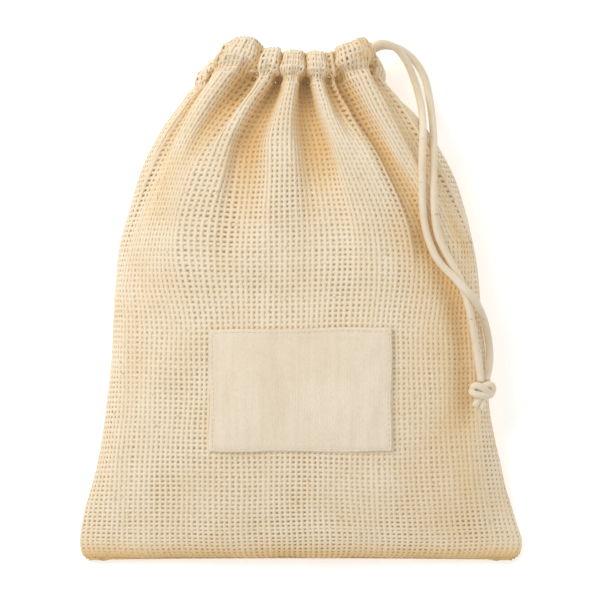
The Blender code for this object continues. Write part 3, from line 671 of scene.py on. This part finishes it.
def wander(seed, count, low, high):
    """Return a smooth uneven function of two places on the cloth, from about -1 to 1."""
    pick = np.random.default_rng(seed)
    lengths = pick.uniform(low, high, count)
    turns = pick.uniform(0.0, 2.0 * math.pi, count)
    starts = pick.uniform(0.0, 2.0 * math.pi, count)

    def value(across, up):
        total = 0.0
        for length, turn, start in zip(lengths, turns, starts):
            along = across * math.cos(turn) + up * math.sin(turn)
            total = total + np.sin(2.0 * math.pi * along / length + start)
        return total / math.sqrt(0.5 * count) * 0.6
    return value


def cloth_grid(face):
    """Return one face's middle surface on a grid of half crossings, with its fold and flap."""
    across = np.linspace(-HALF_WIDTH, HALF_WIDTH, COLUMNS + 1)
    other = "back" if face == "front" else "front"
    rows = [face_section(step * ROW_STEP, face, across) for step in range(2 * WEFTS + 1)]
    bumps = fine_relief(face, across, np.arange(2 * WEFTS + 1) * ROW_STEP)
    fold_far = face_section(0.0, other, across)
    fold = 0.5 * (rows[0] + fold_far)
    fold[:, 1] -= 0.9
    grid = np.array([fold_far, fold] + rows)
    normals = grid_normals(grid, face)
    grid = grid - CLOTH_MIDDLE * normals
    grid[FOLD_ROWS:] += bumps[..., None] * normals[FOLD_ROWS:]
    if face == "back":
        grid[..., 2] = np.maximum(grid[..., 2], CLOTH_MIDDLE)
    normals = grid_normals(grid, face)
    top = len(grid) - 1
    calm = calm_flap(grid[top], face)
    flap = []
    for step in range(1, FLAP_ROWS + 1):
        pleated = grid[top - step] - FLAP_FOLD * normals[top - step]
        calm[:, 1] = grid[top][:, 1] - step * ROW_STEP
        weight = smooth_step(0.0, FLAP_CALM_ROW, float(step))
        row = pleated * (1.0 - weight) + calm * weight
        if face == "front":
            row[:, 2] = np.minimum(row[:, 2], grid[top - step][:, 2] - FLAP_FOLD)
        else:
            row[:, 2] = np.maximum(row[:, 2], grid[top - step][:, 2] + FLAP_FOLD)
        flap.append(row)
    grid = np.concatenate((grid, np.array(flap)))
    return grid, grid_normals(grid, face)


def calm_flap(rim, face):
    """Return where the calm flap would lie under each place of the rim, if it were as high up as the rim."""
    middle, half, height, front, back, fullness = FLAP_OVAL
    oval = (middle, half + CLOTH_MIDDLE, height, front + CLOTH_MIDDLE, back - CLOTH_MIDDLE, fullness)
    left = rim[:, 0].min()
    right = rim[:, 0].max()
    places = []
    for x, y, _ in rim:
        flap_x, flap_z = oval_point(oval, 2.0 * (x - left) / (right - left) - 1.0, face == "front")
        places.append((flap_x, y, flap_z))
    return np.array(places)


def fine_relief(face, across, up):
    """Return the small relief of the cloth: the nip of the stitch line, the full channel and its crumples."""
    seed = SEEDS[face]
    across, up = np.meshgrid(across, up)
    nip = -NIP_DEPTH * np.exp(-((up - STITCH_UP) / NIP_HALF) ** 2)
    full = 0.9 * np.exp(-((up - STITCH_UP - 6.5) / 3.5) ** 2)
    crumple = wander(seed + 5, 12, 6.0, 13.0)(across, 1.4 * up)
    crumple *= smooth_step(STITCH_UP - 2.0, STITCH_UP + 4.0, up)
    gathers = wander(seed + 6, 9, 7.0, 14.0)(across, 0.12 * up)
    near_line = np.exp(-((up - STITCH_UP) / 9.0) ** 2)
    soft = wander(seed + 7, 10, 22.0, 60.0)(across, 0.8 * up)
    return nip + full + CRUMPLE * crumple + 0.55 * gathers * near_line + 0.35 * soft


def grid_normals(grid, face):
    """Return the outward normals of a grid of points."""
    along = np.gradient(grid, axis=0)
    beside = np.gradient(grid, axis=1)
    normal = np.cross(beside, along)
    if face == "back":
        normal = -normal
    return normal / np.maximum(np.linalg.norm(normal, axis=2, keepdims=True), 1e-9)


def read_grid(grid, row, column):
    """Read a grid between its points; row and column are arrays of the same shape."""
    row = np.clip(row, 0.0, grid.shape[0] - 1.001)
    column = np.clip(column, 0.0, grid.shape[1] - 1.001)
    r = row.astype(int)
    c = column.astype(int)
    fr = (row - r)[..., None]
    fc = (column - c)[..., None]
    lower = grid[r, c] * (1.0 - fc) + grid[r, c + 1] * fc
    upper = grid[r + 1, c] * (1.0 - fc) + grid[r + 1, c + 1] * fc
    return lower * (1.0 - fr) + upper * fr


def place_on(grid, normals, row, column):
    """Return points of the cloth's surface and its outward directions there."""
    normal = read_grid(normals, row, column)
    return read_grid(grid, row, column), normal / np.linalg.norm(normal, axis=2, keepdims=True)


def strand_rings(points, normals, half_width, half_thickness, sides):
    """Return the rings of corner points round each strand; points is strands by steps by 3."""
    tangent = np.gradient(points, axis=1)
    tangent /= np.maximum(np.linalg.norm(tangent, axis=2, keepdims=True), 1e-9)
    beside = np.cross(tangent, normals)
    beside /= np.maximum(np.linalg.norm(beside, axis=2, keepdims=True), 1e-9)
    out = np.cross(beside, tangent)
    turns = np.arange(sides) * 2.0 * math.pi / sides + math.pi / 2.0
    rings = []
    for turn in turns:
        rings.append(points + math.cos(turn) * half_width[..., None] * beside
                     + math.sin(turn) * half_thickness[..., None] * out)
    return np.stack(rings, axis=2)


def tube_mesh(ring_sets, name, shade_sets=None):
    """Make one mesh from sets of capped tubes; each set is tubes by steps by sides by 3, in millimetres.

    shade_sets give each ring's depth of shade, tubes by steps, and are kept as the attribute "shade".
    """
    vertices = []
    faces = []
    start = 0
    for rings in ring_sets:
        tubes, steps, sides = rings.shape[:3]
        vertices.append(rings.reshape(-1, 3))
        index = start + np.arange(tubes * steps * sides).reshape(tubes, steps, sides)
        a = index[:, :-1, :]
        b = index[:, 1:, :]
        quads = np.stack((a, np.roll(a, -1, axis=2), np.roll(b, -1, axis=2), b), axis=-1).reshape(-1, 4)
        faces.extend(quads.tolist())
        faces.extend(index[:, 0, ::-1].tolist())
        faces.extend(index[:, -1, :].tolist())
        start += tubes * steps * sides
    mesh = bpy.data.meshes.new(name)
    mesh.from_pydata((MM * np.concatenate(vertices)).tolist(), [], faces)
    mesh.update()
    mesh.shade_smooth()
    if shade_sets is not None:
        shades = [np.repeat(shade.ravel(), rings.shape[2]) for shade, rings in zip(shade_sets, ring_sets)]
        layer = mesh.attributes.new("shade", "FLOAT", "POINT")
        layer.data.foreach_set("value", np.concatenate(shades).astype(np.float32))
    return mesh


def openness(face, across, up):
    """Return how far the mesh is drawn open at points of the cloth, from about -1 to 1."""
    total = 0.35 * wander(SEEDS[face] + 1, 9, 28.0, 90.0)(across, up)
    total -= 0.6 * smooth_step(215.0, 262.0, up) * (1.0 - smooth_step(284.0, 290.0, up))
    if face == "front":
        for place, height, half_across, half_up, amount in DRAWN_PLACES:
            away = ((across - place) / half_across) ** 2 + ((up - height) / half_up) ** 2
            total += amount * np.exp(-away)
    return np.clip(total, -1.2, 1.2)


def shade_grid(grid, face):
    """Return how deep each place of a face lies below the pleats beside it, from 0 on a crest to 1."""
    height = grid[..., 2] if face == "front" else -grid[..., 2]
    columns = height.shape[1]
    padded = np.pad(height, ((0, 0), (SHADE_WINDOW, SHADE_WINDOW)), mode="edge")
    crest = np.max([padded[:, step:step + columns] for step in range(0, 2 * SHADE_WINDOW + 1, 2)], axis=0)
    place = np.linspace(-1.0, 1.0, columns)[None, :]
    slope_side = 1.0 - smooth_step(0.72, 0.92, np.abs(place))
    up = (np.arange(height.shape[0])[:, None] - FOLD_ROWS) * ROW_STEP
    cord_side = 0.15 + 0.85 * smooth_step(30.0, 60.0, HALF_WIDTH * place)
    among_pleats = np.maximum(smooth_step(175.0, 245.0, up), cord_side)
    deep = np.clip((crest - height - 1.5) / SHADE_FULL_DEPTH, 0.0, 1.0) * slope_side * among_pleats
    deep = deep * (VALLEY_SHADE + (1.0 - VALLEY_SHADE) * smooth_step(STITCH_UP - 26.0, STITCH_UP + 3.0, up))
    foot = FOOT_SHADE * (1.0 - smooth_step(3.0, 19.0, up)) * np.ones_like(height)
    return np.maximum(deep, foot)[..., None]


def strands_up(face, grid, normals, shading):
    """Return the rings of the strands that run up a face, and their shades."""
    seed = SEEDS[face]
    pick = np.random.default_rng(seed)
    steps = grid.shape[0]
    strand_shift = pick.normal(0.0, 0.11, (WARPS, 1))
    strand_size = 1.0 + np.clip(pick.normal(0.0, 0.06, (WARPS, 1)), -0.14, 0.14)
    fine_shift = pick.normal(0.0, 0.07, (WARPS, steps))
    number = np.arange(WARPS)[:, None]
    row = np.arange(steps, dtype=float)[None, :] * np.ones((WARPS, 1))
    up = (row - FOLD_ROWS) * ROW_STEP
    base = -HALF_WIDTH + (number + 0.5) * WARP_PITCH * np.ones_like(row)
    drift = wander(seed + 2, 8, 30.0, 120.0)(base, up)
    inside = np.clip((HALF_WIDTH - np.abs(base)) / SIDE_SEAM, 0.0, 1.0)
    across = base + inside * (strand_shift + DRIFT * drift + fine_shift)
    column = (across + HALF_WIDTH) * COLUMNS_PER_MM
    points, normal = place_on(grid, normals, row, column)
    step = np.arange(steps)[None, :] - FIRST_WEFT_ROW[face]
    over = np.where((number + step // 2) % 2 == 0, 1.0, -1.0) * (step % 2 == 0)
    points = points + (WARP_RISE + WARP_WAVE * over)[..., None] * normal
    beside = WARP_PITCH * COLUMNS_PER_MM
    gap = 0.5 * np.abs(read_grid(grid, row, column + beside) - read_grid(grid, row, column - beside))
    room = np.linalg.norm(gap, axis=2)
    shade = read_grid(shading, row, column)[..., 0]
    loose = LOOSENESS * openness(face, across, up) - 0.08 * wander(seed + 4, 10, 5.0, 16.0)(across, up)
    width = np.clip(WARP_WIDTH * strand_size * (1.0 - loose), 1.6, 2.95) * (1.0 + 0.25 * shade)
    width = np.minimum(width * FILL[face], np.maximum(room, 1.3))
    thick = STRAND_THICKNESS * (0.8 + 0.2 * strand_size) * np.ones_like(width)
    return strand_rings(points, normal, 0.5 * width, 0.5 * thick, SIDES[face]), shade


def strands_across(face, grid, normals, shading):
    """Return the rings of the strands that run across a face, and their shades."""
    seed = SEEDS[face]
    pick = np.random.default_rng(seed + 50)
    rows = np.arange(FIRST_WEFT_ROW[face], grid.shape[0], 2)[:, None]
    half_columns = np.arange(2 * WARPS + 1)[None, :]
    row_shift = pick.normal(0.0, 0.09, (len(rows), 1))
    row_size = 1.0 + np.clip(pick.normal(0.0, 0.06, (len(rows), 1)), -0.14, 0.14)
    fine_shift = pick.normal(0.0, 0.06, (len(rows), 2 * WARPS + 1))
    across = (-HALF_WIDTH + half_columns * 0.5 * WARP_PITCH) * np.ones_like(fine_shift)
    up = (rows - FOLD_ROWS) * ROW_STEP * np.ones_like(across)
    held = np.ones_like(up)
    held[:2] = 0.0
    held[-7:] = 0.3
    shift = row_shift + 0.8 * wander(seed + 3, 8, 40.0, 140.0)(across, up) + fine_shift
    row = np.maximum(rows + held * shift / ROW_STEP, 0.4)
    inside = np.clip((HALF_WIDTH - np.abs(across)) / SIDE_SEAM, 0.0, 1.0)
    drift = wander(seed + 2, 8, 30.0, 120.0)(across, up)
    column = (across + inside * DRIFT * drift + HALF_WIDTH) * COLUMNS_PER_MM
    points, normal = place_on(grid, normals, row, column)
    number = (rows - FIRST_WEFT_ROW[face]) // 2
    over = np.where((half_columns // 2 + number) % 2 == 0, -1.0, 1.0) * (half_columns % 2 == 1)
    points = points + (WEFT_WAVE * over)[..., None] * normal
    shade = read_grid(shading, row, column)[..., 0]
    loose = LOOSENESS * openness(face, across, up) + 0.06 * wander(seed + 4, 10, 5.0, 16.0)(across, up)
    width = np.clip(WEFT_WIDTH * row_size * (1.0 - loose), 1.4, 2.8) * (1.0 + 0.15 * shade) * FILL[face]
    thick = STRAND_THICKNESS * (0.8 + 0.2 * row_size) * np.ones_like(width)
    return strand_rings(points, normal, 0.5 * width, 0.5 * thick, SIDES[face]), shade


def add_piece(name, mesh, material, slot, *nodes):
    """Put a mesh in the scene as one finished piece of the object."""
    piece = bpy.data.objects.new(name, mesh)
    mesh.materials.append(material)
    bpy.context.scene.collection.objects.link(piece)
    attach(piece, "root")
    if nodes:
        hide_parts(*nodes)
    return piece


def add_cloth(surfaces):
    """Weave the bag's cloth: for the front and the back, the strands that run up and those across."""
    yarn = cotton_yarn("mesh_yarn", YARN_PALE, YARN_WARM, 1400.0, YARN_DEEP, YARN_GLOW_STRENGTH)
    for face, resting in (("back", ["floor"]), ("front", ["mesh_back_up"])):
        grid, normals = surfaces[face]
        shading = shade_grid(grid, face)
        for way, weave in (("across", strands_across), ("up", strands_up)):
            rings, shade = weave(face, grid, normals, shading)
            if face == "back":
                rings = rings[:, :, ::-1]
            mesh = tube_mesh([rings], f"mesh_{face}_{way}", [shade])
            add_piece(f"mesh_{face}_{way}", mesh, yarn, "mesh_cloth", "bag_body")


# ---- patch ----

# The patch's mesh, its gap to the cloth and its thickness, then its stitches: how far in from the edge,
# and how long, far apart and wide.
PATCH_STEP = 1.0
PATCH_LIFT = 0.45
PATCH_CANVAS = 0.6
PATCH_STITCH_IN = 1.8
STITCH_LENGTH = 2.3
STITCH_GAP = 0.7
STITCH_WIDTH = 0.62

# The channel's stitches sink out of sight where the shade between the pleats is deeper than this.
HIDDEN_STITCH_SHADE = 0.3

# Soft creases of the patch. Columns: x, y, turn, half_width, half_length, height.
PATCH_CREASES = (
    (39.0, -27.0, 1.05, 4.0, 13.0, 0.40),
    (29.0, -26.0, 1.2, 3.6, 12.0, 0.25),
    (45.0, -44.0, 1.5, 4.5, 16.0, 0.35),
    (38.0, -68.0, 1.35, 5.0, 20.0, 0.40),
    (-30.0, -50.0, 1.6, 16.0, 34.0, 0.80),
)


def patch_outline(part_x, part_y):
    """Return a place on the patch from its shares across and up, with its slightly uneven edges."""
    top = PATCH_TOP_LEFT + part_x * (PATCH_TOP_RIGHT - PATCH_TOP_LEFT)
    x = PATCH_LEFT + part_x * (PATCH_RIGHT - PATCH_LEFT)
    y = PATCH_BOTTOM + part_y * (top - PATCH_BOTTOM)
    x = x + 0.35 * np.sin(part_y * 9.0 + 1.0) * (2.0 * part_x - 1.0)
    y = y + 0.30 * np.sin(part_x * 11.0) * (2.0 * part_y - 1.0)
    return x, y


def height_table():
    """Return the front's height under the patch as a function of x and y."""
    table_x = np.linspace(PATCH_LEFT - 4.0, PATCH_RIGHT + 4.0, 60)[::6]
    table_y = np.linspace(PATCH_BOTTOM - 4.0, PATCH_TOP_RIGHT + 4.0, 60)[::6]
    table = np.array([[front_height(x, y) for x in table_x] for y in table_y])

    def height(x, y):
        by_row = np.array([np.interp(x, table_x, row) for row in table])
        place = np.interp(y, table_y, np.arange(len(table_y)))
        low = np.clip(place.astype(int), 0, len(table_y) - 2)
        part = place - low
        index = np.arange(len(x))
        return by_row[low, index] * (1.0 - part) + by_row[low + 1, index] * part
    return height


def patch_relief(x, y):
    """Return the patch's own relief: its turned edge, the stitch groove and a few soft creases."""
    from_side = np.minimum(x - PATCH_LEFT, PATCH_RIGHT - x)
    edge = np.minimum(from_side, np.minimum(y - PATCH_BOTTOM, PATCH_TOP_LEFT - y))
    groove = -0.22 * np.exp(-((edge - PATCH_STITCH_IN) / 0.7) ** 2)
    turned = 0.20 * (1.0 - smooth_step(3.6, 5.2, edge))
    puckers = 0.10 * np.sin(2.0 * math.pi * (x + y) / 3.0) * np.exp(-((edge - PATCH_STITCH_IN) / 1.4) ** 2)
    creases = np.zeros_like(x)
    for x0, y0, turn, half_width, length, height in PATCH_CREASES:
        along = (x - x0) * math.cos(turn) + (y - y0) * math.sin(turn)
        beside = -(x - x0) * math.sin(turn) + (y - y0) * math.cos(turn)
        creases += height * np.exp(-(beside / half_width) ** 2 - (along / length) ** 2)
    return groove + turned + puckers + creases


def add_patch():
    """Make the canvas patch on the front's curve, and the stitches that hold it."""
    height = height_table()
    across = int(round((PATCH_RIGHT - PATCH_LEFT) / PATCH_STEP))
    rows = int(round((PATCH_TOP_RIGHT - PATCH_BOTTOM) / PATCH_STEP))
    part_x, part_y = np.meshgrid(np.linspace(0.0, 1.0, across + 1), np.linspace(0.0, 1.0, rows + 1))
    x, y = patch_outline(part_x.ravel(), part_y.ravel())
    z = height(x, y) + PATCH_LIFT + patch_relief(x, y)
    index = np.arange(len(x)).reshape(rows + 1, across + 1)
    quads = np.stack((index[:-1, :-1], index[:-1, 1:], index[1:, 1:], index[1:, :-1]), axis=-1).reshape(-1, 4)
    mesh = bpy.data.meshes.new("patch")
    mesh.from_pydata((MM * np.stack((x, y, z), axis=1)).tolist(), [], quads.tolist())
    mesh.update()
    mesh.shade_smooth()
    patch = add_piece("patch", mesh, canvas_material(), "patch_cloth", "label_patch")
    shell = patch.modifiers.new("cloth", "SOLIDIFY")
    shell.thickness = PATCH_CANVAS * MM
    shell.offset = 1.0
    stitches = add_stitches("patch_stitches", patch_stitch_line(height), "patch_cloth")


def patch_stitch_line(height):
    """Return three points of each stitch round the patch, with its way out."""
    inset_x = PATCH_STITCH_IN / (PATCH_RIGHT - PATCH_LEFT)
    inset_y = PATCH_STITCH_IN / (PATCH_TOP_RIGHT - PATCH_BOTTOM)
    far_x = 1.0 - inset_x
    far_y = 1.0 - inset_y
    corners = ((inset_x, inset_y), (far_x, inset_y), (far_x, far_y), (inset_x, far_y))
    stitches = []
    for number in range(4):
        start = np.array(corners[number])
        end = np.array(corners[(number + 1) % 4])
        size = np.array((PATCH_RIGHT - PATCH_LEFT, PATCH_TOP_RIGHT - PATCH_BOTTOM))
        count = int(np.linalg.norm((end - start) * size) / (STITCH_LENGTH + STITCH_GAP))
        for step in range(count):
            parts = (step + np.array((0.12, 0.5, 0.88))) / count
            place = start[None, :] + (end - start)[None, :] * parts[:, None]
            x, y = patch_outline(place[:, 0], place[:, 1])
            raised = np.array((-0.15, 0.12, -0.15))
            z = height(x, y) + PATCH_LIFT + PATCH_CANVAS + patch_relief(x, y) + raised
            stitches.append((np.stack((x, y, z), axis=1), np.array((0.0, 0.0, 1.0))))
    return stitches


def add_stitches(name, stitches, slot):
    """Make short plump stitches of sewing thread from three points each."""
    lines = []
    for points, out in stitches:
        middle = 0.5 * (points[1:] + points[:-1])
        middle += 0.12 * out
        lines.append((points[0], middle[0], points[1], middle[1], points[2]))
    line = np.array(lines)
    normal = np.array([np.tile(out, (5, 1)) for _, out in stitches])
    half = 0.5 * STITCH_WIDTH * np.array((0.45, 0.95, 1.0, 0.95, 0.45))[None, :] * np.ones((len(line), 1))
    mesh = tube_mesh([strand_rings(line, normal, half, half, 6)], name)
    return add_piece(name, mesh, cotton_yarn(name + "_thread", CORD_PALE, CORD_WARM, 3000.0), slot)


def add_channel_stitches(surfaces):
    """Sew the channel's flap down, with one stitch to each strand that runs up, except where the shade
    between the pleats is too deep.
    """
    stitches = []
    row = np.full(3, FOLD_ROWS + STITCH_UP / ROW_STEP)
    for face, (grid, normals) in surfaces.items():
        shading = shade_grid(grid, face)
        for number in range(WARPS):
            across = (number + 0.5 + np.array((-0.42, 0.0, 0.42))) * WARP_PITCH
            column = across * COLUMNS_PER_MM
            if read_grid(shading, row, column)[1, 0] > HIDDEN_STITCH_SHADE:
                continue
            points = read_grid(grid, row, column)
            out = read_grid(normals, row, column)[1]
            raised = CLOTH_MIDDLE + np.array((-0.35, 0.05, -0.35))
            stitches.append((points + out[None, :] * raised[:, None], out))
    return add_stitches("channel_stitches", stitches, "mesh_cloth")


# ---- cords ----

# The real lengths of the two free tails, in metres, along their routes.
TAIL_A_LENGTH = 0.260
TAIL_B_LENGTH = 0.244

BRAID_SIDES = 24
BRAID_STEP = 0.5
BRAID_STARTS = 8
BRAID_PITCH = 7.0
BRAID_DEPTH = 0.07


def carried_frames(points):
    """Return the tangent and two steady side directions at each point of a line."""
    tangent = np.gradient(points, axis=0)
    tangent /= np.linalg.norm(tangent, axis=1, keepdims=True)
    side = np.cross(tangent[0], (0.0, 0.0, 1.0))
    if np.linalg.norm(side) < 0.1:
        side = np.cross(tangent[0], (1.0, 0.0, 0.0))
    sides = []
    for direction in tangent:
        side = side - direction * np.dot(side, direction)
        side = side / np.linalg.norm(side)
        sides.append(side)
    sides = np.array(sides)
    return tangent, sides, np.cross(tangent, sides)


def braided_rings(points, diameter, blunt=0.75):
    """Return the rings of a braided round cord along points, with soft ends."""
    _, side, other = carried_frames(points)
    length = np.concatenate(([0.0], np.cumsum(np.linalg.norm(np.diff(points, axis=0), axis=1))))
    turn = np.arange(BRAID_SIDES) * 2.0 * math.pi / BRAID_SIDES
    left = np.abs(np.cos(0.5 * BRAID_STARTS * turn[None, :] + 2.0 * math.pi * length[:, None] / BRAID_PITCH))
    right = np.abs(np.cos(0.5 * BRAID_STARTS * turn[None, :] - 2.0 * math.pi * length[:, None] / BRAID_PITCH))
    plait = np.maximum(left, right) ** 0.8
    from_end = np.minimum(length, length[-1] - length)
    round_end = np.sqrt(np.clip(1.0 - (1.0 - np.clip(from_end / blunt, 0.0, 1.0)) ** 2, 0.12, 1.0))
    radius = 0.5 * diameter * (1.0 + BRAID_DEPTH * (plait - 0.75)) * round_end[:, None]
    outward = np.cos(turn)[None, :, None] * side[:, None, :]
    outward = outward + np.sin(turn)[None, :, None] * other[:, None, :]
    rings = points[:, None, :] + radius[..., None] * outward
    return rings[None, ...]


def add_cords():
    """Make the two free tails, the cord inside the channel and the knot that joins the tails."""
    cotton = cotton_yarn("cord_cotton", CORD_PALE, CORD_WARM, 1800.0)
    knot_lines = [smooth_route([knot_place(point) for point in path], BRAID_STEP) for path in KNOT_PATHS]
    knot_rings = [braided_rings(line, KNOT_STRAND, 0.35) for line in knot_lines]
    knot = add_piece("knot", tube_mesh(knot_rings, "knot"), cotton, "cord", "drawstring_knot")
    for name, node, table, length in (("tail_a", "drawstring_tail_a", TAIL_A_ROUTE, TAIL_A_LENGTH),
                                      ("tail_b", "drawstring_tail_b", TAIL_B_ROUTE, TAIL_B_LENGTH)):
        line = smooth_route(table, BRAID_STEP)
        tail = add_piece(name, tube_mesh([braided_rings(line, CORD_DIAMETER)], name), cotton, "cord", node)
    add_channel_cord(cotton)


def add_channel_cord(cotton):
    """Make the cord that lies inside the channel, from one end of its opening round to the other."""
    points = []
    for part in np.linspace(0.0, 1.0, 64):
        turn = CORD_START + part * (2.0 * math.pi - 2.0 * CORD_START)
        share = math.cos(turn)
        x, z = oval_point(CORD_OVAL, math.copysign(abs(share) ** 0.75, share), math.sin(turn) >= 0.0)
        points.append((x, CHANNEL_CORD_Y + CHANNEL_CORD_RISE * share, z))
    line = smooth_route(points, 1.2)
    mesh = tube_mesh([braided_rings(line, CORD_DIAMETER)], "channel_cord")
    add_piece("channel_cord", mesh, cotton, "cord", "drawstring_in_channel")


add_camera()
add_floor_and_light()
add_cords()
cloth_surfaces = {face: cloth_grid(face) for face in SIDES}
add_cloth(cloth_surfaces)
add_patch()
add_channel_stitches(cloth_surfaces)
